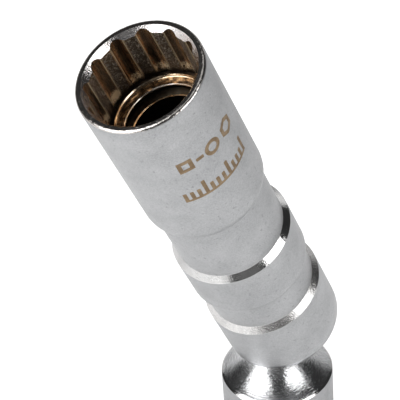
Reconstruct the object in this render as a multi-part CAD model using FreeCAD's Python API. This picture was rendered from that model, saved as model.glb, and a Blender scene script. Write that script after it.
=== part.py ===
import FreeCAD, Part
import math
import os

from FreeCAD import Matrix, Vector

# Swivelling spark plug socket for a 14 mm plug, all sizes in mm and degrees.
# It stands on the flat end of its drive end, whose axis is +Z. The long socket leans to -X
# at the stop of the joint. The origin is the middle of the flat end, on the ground.
# Sizes along the socket are measured from its mouth face, sizes along the drive end from the
# middle of the ball.

# Pose of the joint
ball_height = 40.0
lean_total = 22.4

# Outside of the socket
socket_radius = 9.5
neck_radius = 8.6
socket_length = 69.9
cup_reach = 6.4
ball_depth = socket_length - cup_reach
rim_round = 0.3
head_arc_start = 26.3
head_arc_radius = 3.0
land_arc_start = 48.8
land_arc_radius = 1.5
band_one_start = 39.7
band_two_start = 55.7
end_round = 2.5

# Twelve-point opening
point_count = 12
land_radius = 7.8
flute_floor_radius = 8.3
flute_round = 1.38
lead_in_radius = 8.57
lead_in_depth = 0.9
broach_depth = 10.15
flute_clock = -157.05

# Magnet seat and insulator bore
seat_radius = 7.3
seat_floor = 13.0
seat_chamfer = 0.15
insulator_radius = 5.75
insulator_chamfer = 0.2
drill_point_half_angle = 59.0

# Magnet stack
press_clearance = 0.01
washer_front = 11.0
washer_thickness = 0.5
washer_width = 1.1
washer_inner_radius = seat_radius - washer_width
washer_bevel = 0.12
magnet_wall = 0.95
magnet_inner_radius = seat_radius - magnet_wall

# Ball joint
ball_radius = 7.0
ball_clearance = 0.1
stem_radius = 3.5
pin_radius = 1.5
pin_hole_clearance = 0.03
pin_half_length = 7.9
pin_end_bevel = 0.3
slot_clearance = 0.05
slot_depth_radius = 8.1
slot_reach = 4.2
lip_radius = 7.75
spring_chamber_radius = 5.0
spring_chamber_reach = 11.1
spring_chamber_floor = ball_depth - spring_chamber_reach
web_thickness = 2.45
drill_point_depth = insulator_radius / math.tan(math.radians(drill_point_half_angle))
insulator_bore_end = spring_chamber_floor - web_thickness - drill_point_depth

# Retaining ring
ring_thickness = 0.8
ring_lip = 1.7
ring_offset = cup_reach - ring_thickness - ring_lip
ring_outer_radius = 7.65
ring_width = 1.78
ring_inner_radius = ring_outer_radius - ring_width
ring_groove_side_clearance = 0.03
ring_groove_radial_clearance = 0.05
ring_gap_half_angle = 14.0
ring_gap_clock = 100.0

# Spring seat and spring
cap_radius = 4.7
cap_back_offset = 8.1
cap_gap_to_ball = 0.04
cap_spigot_radius = 2.9
cap_spigot_height = 0.9
spring_wire_radius = 0.35
spring_mean_radius = 3.85
spring_turns = 2.6
spring_parts = 8
spring_end_gap = 0.02

# Drive end
drive_radius = 9.25
drive_chamfer = 0.37
shoulder_reach = 7.68
shoulder_offset = cup_reach + shoulder_reach
cove_radius = 8.5
foot_chamfer = 0.3
square_width = 9.6
square_depth = 12.5
square_corner_round = 0.5
square_mouth_bevel = 0.6
square_floor_cone = 1.6
dimple_radius = 1.9
dimple_reach = 0.8
dimple_height = 5.0


def lathe(profile):
    """Solid of revolution about Z from (radius, z) points; a triple (radius, z, middle) ends an arc."""
    edges = []
    last = Vector(profile[0][0], 0, profile[0][1])
    for step in profile[1:] + [profile[0]]:
        end = Vector(step[0], 0, step[1])
        if end.isEqual(last, 1e-7):
            continue
        if len(step) == 3:
            middle = Vector(step[2][0], 0, step[2][1])
            edges.append(Part.Arc(last, middle, end).toShape())
        else:
            edges.append(Part.LineSegment(last, end).toShape())
        last = end
    face = Part.Face(Part.Wire(edges))
    return face.revolve(Vector(0, 0, 0), Vector(0, 0, 1), 360)


def on_circle(centre, radius, degrees):
    """Point (r, z) on a circle in the profile plane."""
    angle = math.radians(degrees)
    return (centre[0] + radius * math.cos(angle), centre[1] + radius * math.sin(angle))


def shoulder(start, radius_from, radius_to, arc_radius):
    """Rounded step of the outside, from a land down to the neck below it."""
    centre = (radius_from - arc_radius, -start)
    last = math.degrees(math.acos((radius_to - centre[0]) / arc_radius))
    middle = on_circle(centre, arc_radius, -last / 2)
    end = on_circle(centre, arc_radius, -last)
    return [(radius_from, -start), (end[0], end[1], middle)]


def socket_blank():
    """Turned outside of the socket, mouth face at z = 0, body below it."""
    band_height = socket_radius - neck_radius
    rim_centre = (socket_radius - rim_round, -rim_round)
    rim_end = (socket_radius, -rim_round)
    end_centre = (socket_radius - end_round, -(socket_length - end_round))
    profile = [(0, 0), (socket_radius - rim_round, 0)]
    profile.append(rim_end + (on_circle(rim_centre, rim_round, 45),))
    profile += shoulder(head_arc_start, socket_radius, neck_radius, head_arc_radius)
    profile.append((neck_radius, -band_one_start))
    profile.append((socket_radius, -band_one_start - band_height))
    profile += shoulder(land_arc_start, socket_radius, neck_radius, land_arc_radius)
    profile.append((neck_radius, -band_two_start))
    profile.append((socket_radius, -band_two_start - band_height))
    profile.append((socket_radius, end_centre[1]))
    profile.append((end_centre[0], -socket_length, on_circle(end_centre, end_round, -45)))
    profile.append((0, -socket_length))
    return lathe(profile)


def twelve_point_cutter():
    """Broached opening: a round core with rounded flutes around it."""
    over = 0.5
    core = Part.makeCylinder(land_radius, broach_depth + over, Vector(0, 0, -broach_depth))
    flute_centre = flute_floor_radius - flute_round
    cutter = core
    for index in range(point_count):
        angle = math.radians(flute_clock + index * 360.0 / point_count)
        foot = Vector(flute_centre * math.cos(angle), flute_centre * math.sin(angle), -broach_depth)
        cutter = cutter.fuse(Part.makeCylinder(flute_round, broach_depth + over, foot))
    return cutter


def front_bore_cutter():
    """Lead-in cone, magnet seat and insulator bore on one axis."""
    tip = insulator_bore_end + drill_point_depth
    lead_in = lathe([
        (0, 0.5),
        (lead_in_radius, 0.5),
        (lead_in_radius, 0),
        (land_radius, -lead_in_depth),
        (0, -lead_in_depth),
    ])
    bore = lathe([
        (0, -broach_depth + 0.5),
        (seat_radius + seat_chamfer, -broach_depth + 0.5),
        (seat_radius + seat_chamfer, -broach_depth),
        (seat_radius, -broach_depth - seat_chamfer),
        (seat_radius, -seat_floor),
        (insulator_radius + insulator_chamfer, -seat_floor),
        (insulator_radius, -seat_floor - insulator_chamfer),
        (insulator_radius, -insulator_bore_end),
        (0, -tip),
    ])
    return lead_in.fuse(bore)


def joint_cavity_cutter():
    """Ball cup with its spherical floor, spring chamber, ring groove and flared lip."""
    cup_radius = ball_radius + ball_clearance
    rise = math.sqrt(cup_radius ** 2 - spring_chamber_radius ** 2)
    floor_angle = math.degrees(math.atan2(rise, spring_chamber_radius))
    centre = (0, -ball_depth)
    groove_top = -(ball_depth + ring_offset - ring_groove_side_clearance)
    groove_bottom = groove_top - ring_thickness - 2 * ring_groove_side_clearance
    groove_radius = ring_outer_radius + ring_groove_radial_clearance
    flare = lip_radius - cup_radius
    over = 0.5
    return lathe([
        (0, -spring_chamber_floor),
        (spring_chamber_radius, -spring_chamber_floor),
        (spring_chamber_radius, centre[1] + rise),
        (cup_radius, centre[1], on_circle(centre, cup_radius, floor_angle / 2)),
        (cup_radius, groove_top),
        (groove_radius, groove_top),
        (groove_radius, groove_bottom),
        (cup_radius, groove_bottom),
        (cup_radius, -socket_length + flare),
        (lip_radius + over, -socket_length - over),
        (0, -socket_length - over),
    ])


def slot_cutter():
    """Two slots in the wall of the cup, open at its mouth, for the ends of the cross pin."""
    half_width = pin_radius + slot_clearance
    top = -ball_depth + slot_reach - half_width
    length = socket_length + top + 0.5
    inner = spring_chamber_radius
    cutter = None
    for side in (1, -1):
        x_low = inner if side > 0 else -slot_depth_radius
        block = Part.makeBox(
            slot_depth_radius - inner, 2 * half_width, length, Vector(x_low, -half_width, top - length)
        )
        x_start = side * inner
        round_end = Part.makeCylinder(
            half_width, slot_depth_radius - inner, Vector(x_start, 0, top), Vector(side, 0, 0)
        )
        pair = block.fuse(round_end)
        cutter = pair if cutter is None else cutter.fuse(pair)
    bound = Part.makeCylinder(slot_depth_radius, socket_length + 1, Vector(0, 0, -socket_length - 1))
    return cutter.common(bound)


def socket_body():
    """The one-piece socket: turned, broached, bored and slotted."""
    body = socket_blank()
    body = body.cut(twelve_point_cutter())
    body = body.cut(front_bore_cutter())
    body = body.cut(joint_cavity_cutter())
    return body.cut(slot_cutter())


def retaining_washer():
    """Plated washer that closes the magnet seat, bevelled at its bore."""
    outer = seat_radius - press_clearance
    front = -washer_front
    back = front - washer_thickness
    return lathe([
        (washer_inner_radius + washer_bevel, front),
        (outer, front),
        (outer, back),
        (washer_inner_radius, back),
        (washer_inner_radius, front - washer_bevel),
    ])


def magnet_ring():
    """Ring magnet between the washer and the floor of its seat."""
    outer = seat_radius - press_clearance
    front = -(washer_front + washer_thickness)
    return lathe([
        (magnet_inner_radius, front),
        (outer, front),
        (outer, -seat_floor),
        (magnet_inner_radius, -seat_floor),
    ])


def retaining_ring():
    """Open snap ring that keeps the ball in its cup."""
    top = -(ball_depth + ring_offset)
    bottom = top - ring_thickness
    ring = lathe([
        (ring_inner_radius, top),
        (ring_outer_radius, top),
        (ring_outer_radius, bottom),
        (ring_inner_radius, bottom),
    ])
    reach = ring_outer_radius * 1.5
    corners = [Vector(0, 0, bottom - 0.1)]
    for side in (-1, 1):
        angle = math.radians(ring_gap_clock + side * ring_gap_half_angle)
        corners.append(Vector(reach * math.cos(angle), reach * math.sin(angle), bottom - 0.1))
    wedge = Part.Face(Part.makePolygon(corners + [corners[0]]))
    return ring.cut(wedge.extrude(Vector(0, 0, ring_thickness + 0.2)))


def spring_cap():
    """Cap between the spring and the ball, hollowed to the ball, with a spigot for the coil."""
    hollow = ball_radius + cap_gap_to_ball
    rim = math.sqrt(hollow ** 2 - cap_radius ** 2)
    centre = (0, -ball_depth)
    rim_angle = math.degrees(math.atan2(rim, cap_radius))
    back = centre[1] + cap_back_offset
    return lathe([
        (0, centre[1] + hollow),
        (cap_radius, centre[1] + rim, on_circle(centre, hollow, (90 + rim_angle) / 2)),
        (cap_radius, back),
        (cap_spigot_radius, back),
        (cap_spigot_radius, back + cap_spigot_height),
        (0, back + cap_spigot_height),
    ])


def friction_spring():
    """Short coil spring that presses the cap on the ball."""
    low = -ball_depth + cap_back_offset + spring_wire_radius + spring_end_gap
    high = -spring_chamber_floor - spring_wire_radius - spring_end_gap
    pitch = (high - low) / spring_turns
    part_turn = spring_turns / spring_parts
    edges = []
    for index in range(spring_parts):
        arc = Part.makeHelix(pitch, pitch * part_turn, spring_mean_radius)
        arc.rotate(Vector(0, 0, 0), Vector(0, 0, 1), 360 * part_turn * index)
        arc.translate(Vector(0, 0, low + pitch * part_turn * index))
        edges += arc.Edges
    start = Vector(spring_mean_radius, 0, low)
    along = Vector(0, 2 * math.pi * spring_mean_radius, pitch)
    section = Part.Wire(Part.makeCircle(spring_wire_radius, start, along))
    return Part.Wire(edges).makePipeShell([section], True, True)


def cross_pin():
    """Straight pin through the ball, along X, bevelled at both ends."""
    inner = pin_half_length - pin_end_bevel
    tip = pin_radius - pin_end_bevel
    pin = lathe([
        (0, -pin_half_length),
        (tip, -pin_half_length),
        (pin_radius, -inner),
        (pin_radius, inner),
        (tip, pin_half_length),
        (0, pin_half_length),
    ])
    pin.rotate(Vector(0, 0, 0), Vector(0, 1, 0), 90)
    return pin


def square_cutter():
    """Square drive hole from the foot upwards, with a bevelled mouth and a coned floor."""
    foot = -ball_height
    half = square_width / 2
    hole = Part.makeBox(square_width, square_width, square_depth + 0.5, Vector(-half, -half, foot - 0.5))
    upright = [e for e in hole.Edges if abs(e.tangentAt(e.FirstParameter).z) > 0.9]
    hole = hole.makeFillet(square_corner_round, upright)
    wide = half + square_mouth_bevel
    mouth = Part.makeLoft([
        Part.makePolygon([Vector(x * wide, y * wide, foot) for x, y in square_order()]),
        Part.makePolygon([Vector(x * half, y * half, foot + square_mouth_bevel) for x, y in square_order()]),
    ], True)
    floor = Part.makeCone(half, 0.4, square_floor_cone, Vector(0, 0, foot + square_depth))
    cutter = hole.fuse(mouth).fuse(floor)
    for turn in range(4):
        angle = math.radians(90 * turn)
        out = Vector(math.cos(angle), math.sin(angle), 0)
        centre_radius = half + dimple_reach - dimple_radius
        centre = out * centre_radius + Vector(0, 0, foot + dimple_height)
        cutter = cutter.fuse(Part.makeSphere(dimple_radius, centre))
    return cutter


def square_order():
    """Corners of a unit square, closed."""
    return [(-1, -1), (1, -1), (1, 1), (-1, 1), (-1, -1)]


def drive_end():
    """Ball, stem, coved shoulder and drive body in one piece, ball centre at the origin."""
    stem_start = -math.sqrt(ball_radius ** 2 - stem_radius ** 2)
    rim_radius = drive_radius - drive_chamfer
    cove_centre_radius = stem_radius + cove_radius
    cove_drop = math.sqrt(cove_radius ** 2 - (cove_centre_radius - rim_radius) ** 2)
    cove_centre = (cove_centre_radius, -shoulder_offset + cove_drop)
    rim_angle = math.degrees(math.atan2(-cove_drop, rim_radius - cove_centre_radius))
    cove_middle = on_circle(cove_centre, cove_radius, (rim_angle - 180) / 2)
    foot = -ball_height
    solid = lathe([
        (0, ball_radius),
        (stem_radius, stem_start, (ball_radius, 0)),
        (stem_radius, cove_centre[1]),
        (rim_radius, -shoulder_offset, cove_middle),
        (drive_radius, -shoulder_offset - drive_chamfer),
        (drive_radius, foot + foot_chamfer),
        (drive_radius - foot_chamfer, foot),
        (0, foot),
    ])
    return solid.cut(square_cutter())


def pin_hole_cutter():
    """Hole through the ball for the cross pin, along X."""
    radius = pin_radius + pin_hole_clearance
    return Part.makeCylinder(radius, 2 * ball_radius + 1, Vector(-ball_radius - 0.5, 0, 0), Vector(1, 0, 0))


def frame_from(x_axis, y_axis, z_axis, origin):
    """Placement matrix with the given axes as its columns."""
    return Matrix(
        x_axis.x, y_axis.x, z_axis.x, origin.x,
        x_axis.y, y_axis.y, z_axis.y, origin.y,
        x_axis.z, y_axis.z, z_axis.z, origin.z,
        0, 0, 0, 1,
    )


def turned(vector, axis, degrees):
    """The vector turned about an axis through the origin."""
    return FreeCAD.Rotation(axis, degrees).multVec(vector)


def main():
    """Builds every piece, puts it in the shared frame and writes it."""
    up = Vector(0, 0, 1)
    ball = Vector(0, 0, ball_height)

    # The lean is made of two equal swings, one about the pin and one across it. The pin lies
    # flat, clocked so that the two together lean the socket straight to -X.
    swing = math.degrees(math.acos(math.sqrt(math.cos(math.radians(lean_total)))))
    pin_clock = math.atan(math.cos(math.radians(swing)))
    pin_axis = Vector(math.cos(pin_clock), math.sin(pin_clock), 0)
    half_way = turned(up, pin_axis, -swing)
    cross_axis = pin_axis.cross(half_way)
    socket_axis = turned(half_way, cross_axis, swing)
    slot_axis = turned(pin_axis, cross_axis, swing)

    mouth = ball + socket_axis * ball_depth
    in_socket = frame_from(slot_axis, socket_axis.cross(slot_axis), socket_axis, mouth)
    in_ball = frame_from(pin_axis, up.cross(pin_axis), up, ball)

    base = drive_end()
    base.translate(ball)
    hole = pin_hole_cutter()
    hole.transformShape(in_ball)
    base = base.cut(hole)

    pin = cross_pin()
    pin.transformShape(in_ball)

    pieces = {"drive_end": base, "cross_pin": pin}
    makers = {
        "socket_body": socket_body,
        "retaining_washer": retaining_washer,
        "magnet_ring": magnet_ring,
        "retaining_ring": retaining_ring,
        "spring_cap": spring_cap,
        "friction_spring": friction_spring,
    }
    for name, maker in makers.items():
        shape = maker()
        shape.transformShape(in_socket)
        pieces[name] = shape

    os.makedirs("parts", exist_ok=True)
    for name, shape in pieces.items():
        solid = shape.Solids[0] if shape.Solids else Part.Solid(shape)
        solid.exportStep("parts/" + name + ".step")
        print(name, len(shape.Solids), "solid", round(solid.Volume, 1), "mm3", solid.isValid())


main()
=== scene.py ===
"""Looks of a swivelling spark plug socket: its pieces, its finishes and the table it stands on.

All sizes are in millimetres and degrees unless a name says otherwise. The socket's own pieces are
made upright, with the mouth at height 0 and the body below it, and are then leant into place.
"""

import logging
import math
from collections import defaultdict
from dataclasses import dataclass, field
from enum import Enum
from typing import Callable, Iterable, Optional, Sequence, Union

import bmesh
import bpy
from bpy.types import Material, Node, NodeSocket, Object
from mathutils import Matrix, Vector


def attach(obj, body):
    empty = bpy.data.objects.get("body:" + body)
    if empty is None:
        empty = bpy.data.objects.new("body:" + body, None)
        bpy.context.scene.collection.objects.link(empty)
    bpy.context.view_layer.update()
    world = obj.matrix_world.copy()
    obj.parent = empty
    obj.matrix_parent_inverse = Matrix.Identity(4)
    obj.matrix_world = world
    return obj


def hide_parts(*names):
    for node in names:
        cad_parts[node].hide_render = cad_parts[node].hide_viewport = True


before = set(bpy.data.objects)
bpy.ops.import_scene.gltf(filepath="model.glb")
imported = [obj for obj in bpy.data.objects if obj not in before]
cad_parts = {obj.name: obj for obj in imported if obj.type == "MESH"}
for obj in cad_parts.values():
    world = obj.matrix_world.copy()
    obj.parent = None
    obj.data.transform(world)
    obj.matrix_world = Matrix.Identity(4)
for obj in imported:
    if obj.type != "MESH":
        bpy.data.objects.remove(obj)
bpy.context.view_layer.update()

MM = 0.001
TO_MM = 1000.0
DRAWN_OUT = 0.0022  # metres of pattern for each radian round a turned form
LOG = logging.getLogger("spark_plug_socket")

Ring = tuple[float, float]
Corner = tuple[float, float, float]
Colour = tuple[float, float, float]
Stops = Sequence[tuple[float, Sequence[float]]]
FaceTest = Callable[[float, float, Vector], bool]


class Rider(Enum):
    """The moving bodies that pieces ride on."""

    DRIVE = "drive"
    PIN = "pin"
    SOCKET = "socket"


class Slot(Enum):
    """The record's finishes."""

    CHROME = "satin_chrome"
    WASHER = "plated_washer"
    MAGNET = "magnet"


@dataclass(frozen=True)
class Pose:
    """How the socket leans on the ball of its drive end."""

    ball_height: float = 40.0
    ball_depth: float = 63.5
    lean: float = 22.4

    def swing(self) -> float:
        """The part of the lean that each of the two crossed axes takes.

        Returns:
            The angle in radians.
        """
        return math.acos(math.sqrt(math.cos(math.radians(self.lean))))

    def ball(self) -> Matrix:
        """The frame of the ball.

        Returns:
            The frame, X along the cross pin.
        """
        clock = math.atan(math.cos(self.swing()))
        turn = Matrix.Rotation(clock, 4, "Z")
        return Matrix.Translation((0.0, 0.0, self.ball_height * MM)) @ turn

    def mouth(self) -> Matrix:
        """The frame of the socket's mouth.

        Returns:
            The frame, Z out of the mouth and X along the pin slots.
        """
        swing = self.swing()
        about_pin = Matrix.Rotation(-swing, 4, "X")
        about_cross = Matrix.Rotation(-swing, 4, "Y")
        up = Matrix.Translation((0.0, 0.0, self.ball_depth * MM))
        return self.ball() @ about_pin @ about_cross @ up


class Term:
    """A value in a material's maths, on which Python's operators add Math nodes."""

    def __init__(self, shop: "PaintShop", link: NodeSocket) -> None:
        """Wraps one output of a node.

        Args:
            shop: The material's node builder.
            link: The output that carries the value.
        """
        self.shop = shop
        self.link = link

    def _with(self, operation: str, *others: "Value") -> "Term":
        """Adds a Math node on this value and others.

        Args:
            operation: The node's operation.
            *others: The other values.

        Returns:
            The result.
        """
        return self.shop.math(operation, self, *others)

    def __add__(self, other: "Value") -> "Term":
        """This value plus another."""
        return self._with("ADD", other)

    __radd__ = __add__

    def __mul__(self, other: "Value") -> "Term":
        """This value times another."""
        return self._with("MULTIPLY", other)

    __rmul__ = __mul__

    def __sub__(self, other: "Value") -> "Term":
        """This value less another."""
        return self._with("SUBTRACT", other)

    def __rsub__(self, other: "Value") -> "Term":
        """Another value less this one."""
        return self.shop.math("SUBTRACT", other, self)

    def __truediv__(self, other: "Value") -> "Term":
        """This value over another."""
        return self._with("DIVIDE", other)

    def power(self, other: "Value") -> "Term":
        """This value to a power."""
        return self._with("POWER", other)

    def clamped(self) -> "Term":
        """This value held between 0 and 1."""
        return self._with("MINIMUM", 1.0)._with("MAXIMUM", 0.0)

    def magnitude(self) -> "Term":
        """This value without its sign."""
        return self._with("ABSOLUTE")

    def between(self, start: float, end: float) -> "Term":
        """How far this value has gone from a start to an end.

        Args:
            start: The value that gives 0.
            end: The value that gives 1.

        Returns:
            The share, held between 0 and 1.
        """
        return ((self - start) / (end - start)).clamped()


Value = Union[Term, float]


class PaintShop:
    """Builds the nodes of one material."""

    def __init__(self, name: str) -> None:
        """Starts an empty material.

        Args:
            name: The material's name.
        """
        self.material = bpy.data.materials.new(name)
        self.material.use_nodes = True
        self.tree = self.material.node_tree
        self.tree.nodes.clear()

    def node(
        self, kind: str, settings: Optional[dict] = None, inputs: Optional[dict] = None
    ) -> Node:
        """Adds a node.

        Args:
            kind: The node's type.
            settings: Its own settings, set first. "stops" are a ramp's positions and colours.
            inputs: Values, terms or outputs for its sockets, by name or number.

        Returns:
            The new node.
        """
        node = self.tree.nodes.new(kind)
        for name, value in (settings or {}).items():
            if name == "stops":
                self._set_stops(node, value)
            else:
                setattr(node, name, value)
        for name, value in (inputs or {}).items():
            if isinstance(value, Term):
                value = value.link
            if isinstance(value, NodeSocket):
                self.tree.links.new(value, node.inputs[name])
            else:
                node.inputs[name].default_value = value
        return node

    @staticmethod
    def _set_stops(node: Node, stops: Stops) -> None:
        """Sets a colour ramp's stops."""
        elements = node.color_ramp.elements
        while len(elements) < len(stops):
            elements.new(1.0)
        for element, (position, colour) in zip(elements, stops):
            element.position = position
            element.color = (*colour, 1.0)

    def math(self, operation: str, *values: Value) -> Term:
        """Adds a Math node.

        Args:
            operation: The node's operation.
            *values: What it works on.

        Returns:
            The result.
        """
        inputs = dict(enumerate(values))
        node = self.node("ShaderNodeMath", {"operation": operation}, inputs)
        return Term(self, node.outputs[0])

    def place(
        self, centre: Sequence[float] = (0.0, 0.0, 0.0), turn: Sequence[float] = (0.0, 0.0, 0.0)
    ) -> NodeSocket:
        """Object coordinates, moved to a centre and turned, in metres.

        Args:
            centre: The point that becomes the origin.
            turn: The turn in radians that stands the pattern upright.

        Returns:
            The output with the coordinates.
        """
        raw = self.node("ShaderNodeTexCoord").outputs["Object"]
        moved = self.node(
            "ShaderNodeVectorMath", {"operation": "SUBTRACT"}, {0: raw, 1: tuple(centre)}
        )
        settings = {"vector_type": "POINT"}
        inputs = {"Vector": moved.outputs[0], "Rotation": tuple(turn)}
        return self.node("ShaderNodeMapping", settings, inputs).outputs[0]

    def upright(self, pose: Pose) -> NodeSocket:
        """Object coordinates about the ball's centre, with the leant socket's axis stood up.

        Args:
            pose: The socket's lean.

        Returns:
            The output with the coordinates.
        """
        return self.place((0.0, 0.0, pose.ball_height * MM), (0.0, math.radians(pose.lean), 0.0))

    def parts(self, link: NodeSocket) -> tuple[Term, Term, Term]:
        """Takes coordinates apart.

        Args:
            link: The coordinates.

        Returns:
            Their X, Y and Z.
        """
        outputs = self.node("ShaderNodeSeparateXYZ", None, {0: link}).outputs
        return Term(self, outputs[0]), Term(self, outputs[1]), Term(self, outputs[2])

    def stretched(self, link: NodeSocket, scale: Sequence[float]) -> NodeSocket:
        """Scales coordinates.

        Args:
            link: The coordinates.
            scale: The scale along each axis.

        Returns:
            The output with the scaled coordinates.
        """
        node = self.node("ShaderNodeMapping", None, {"Vector": link, "Scale": tuple(scale)})
        return node.outputs[0]

    def noise(
        self, link: NodeSocket, scale: float, detail: float = 2.0, rough: float = 0.5
    ) -> Term:
        """A noise value from 0 to 1.

        Args:
            link: The coordinates.
            scale: Cells for each metre.
            detail: Octaves.
            rough: Strength of the finer octaves.

        Returns:
            The noise.
        """
        inputs = {"Vector": link, "Scale": scale, "Detail": detail, "Roughness": rough}
        return Term(self, self.node("ShaderNodeTexNoise", None, inputs).outputs[0])

    def ramp(self, value: Value, stops: Stops) -> NodeSocket:
        """Adds a colour ramp.

        Args:
            value: What is looked up in it.
            stops: Its positions and colours.

        Returns:
            The output with the colour.
        """
        return self.node("ShaderNodeValToRGB", {"stops": stops}, {0: value}).outputs[0]

    def blend(
        self,
        factor: Value,
        first: Union[NodeSocket, Sequence[float]],
        second: Union[NodeSocket, Sequence[float]],
    ) -> NodeSocket:
        """Mixes two colours.

        Args:
            factor: 0 for the first, 1 for the second.
            first: A colour or an output.
            second: A colour or an output.

        Returns:
            The output with the mixed colour.
        """
        node = self.node("ShaderNodeMix", {"data_type": "RGBA"}, {0: factor})
        for index, colour in ((6, first), (7, second)):
            if isinstance(colour, NodeSocket):
                self.tree.links.new(colour, node.inputs[index])
            else:
                node.inputs[index].default_value = (*colour, 1.0)
        return node.outputs[2]

    def bump(self, height: Value, distance: float, strength: float) -> NodeSocket:
        """Adds a bump.

        Args:
            height: The height, from 0 to 1.
            distance: What a height of 1 stands for, in metres.
            strength: The share of it that is shown.

        Returns:
            The output with the normal.
        """
        inputs = {"Height": height, "Distance": distance, "Strength": strength}
        return self.node("ShaderNodeBump", None, inputs).outputs[0]

    def finish(self, inputs: dict) -> Material:
        """Ends the material with a Principled shader.

        Args:
            inputs: The shader's values and links.

        Returns:
            The material.
        """
        shader = self.node("ShaderNodeBsdfPrincipled", None, inputs)
        self.node("ShaderNodeOutputMaterial", None, {"Surface": shader.outputs[0]})
        return self.material


@dataclass(frozen=True)
class BlastedChrome:
    """Satin chrome over a blasted surface: a pale grey with a fine even grain.

    Patterns are in cells for each metre, and the buffed stretch in depths below the mouth.
    """

    light: Colour = (0.515, 0.519, 0.527)
    dark: Colour = (0.345, 0.349, 0.357)
    roughness: float = 0.42
    grain: float = 4200.0
    cloud: float = 210.0
    pits: float = 1700.0
    depth: float = 0.00006
    buffing: float = 0.0
    buffed_from: float = 65.5
    buffed_to: float = 69.0

    def make(self, pose: Pose, name: str = "blasted_chrome") -> Material:
        """Builds the material.

        Args:
            pose: The socket's lean, for the part of it that is buffed smoother.
            name: The material's name.

        Returns:
            The material.
        """
        shop = PaintShop(name)
        where = shop.place()
        grain = shop.noise(where, self.grain, 3.0, 0.65)
        cloud = shop.noise(where, self.cloud, 3.0, 0.55)
        pits = ((shop.noise(where, self.pits, 1.0, 0.4) - 0.68) * 9.0).clamped()
        tone = (grain * 0.6 + cloud * 0.4 - pits * 0.35).clamped()
        rough = grain * 0.12 + cloud * 0.06 + (self.roughness - 0.09)
        if self.buffing:
            height = shop.parts(shop.upright(pose))[2] * TO_MM
            buffed = (pose.ball_depth - height).between(self.buffed_from, self.buffed_to)
            rough = rough - buffed * self.buffing
        return shop.finish({
            "Base Color": shop.ramp(tone, [(0.34, self.dark), (0.64, self.light)]),
            "Metallic": 1.0,
            "Roughness": rough,
            "Normal": shop.bump(grain - pits * 0.6, self.depth, 0.80),
        })


@dataclass(frozen=True)
class PolishedChrome:
    """Bright chrome on turned faces, with fine ripples left in it.

    The ripple is in cells for each metre, its depth in metres. On a turned form about the upright
    axis it is drawn out round that axis.
    """

    colour: Colour = (0.66, 0.655, 0.65)
    roughness: float = 0.10
    bump: float = 0.10
    ripple: float = 1900.0
    depth: float = 0.00005
    turned: bool = False

    def make(self, name: str = "polished_chrome") -> Material:
        """Builds the material.

        Args:
            name: The material's name.

        Returns:
            The material.
        """
        shop = PaintShop(name)
        where = shop.place()
        marks = self.around(shop, where) if self.turned else where
        ripple = shop.noise(marks, self.ripple, 3.0, 0.6)
        smear = shop.noise(where, 420.0, 2.0, 0.5)
        dim = tuple(0.82 * value for value in self.colour)
        return shop.finish({
            "Base Color": shop.ramp(smear, [(0.3, dim), (0.7, self.colour)]),
            "Metallic": 1.0,
            "Roughness": smear * 0.10 + (self.roughness - 0.05),
            "Normal": shop.bump(ripple, self.depth, self.bump),
        })

    @staticmethod
    def around(shop: PaintShop, where: NodeSocket) -> NodeSocket:
        """Coordinates that draw a pattern out round the upright axis, as turning does.

        Args:
            shop: The material's node builder.
            where: The object coordinates.

        Returns:
            The output with the drawn-out coordinates.
        """
        x, y, z = shop.parts(where)
        turn = shop.math("ARCTAN2", y * -1.0, x * -1.0) * DRAWN_OUT
        out = (x * x + y * y).power(0.5)
        return shop.node("ShaderNodeCombineXYZ", None, {0: turn, 1: out, 2: z}).outputs[0]


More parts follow.
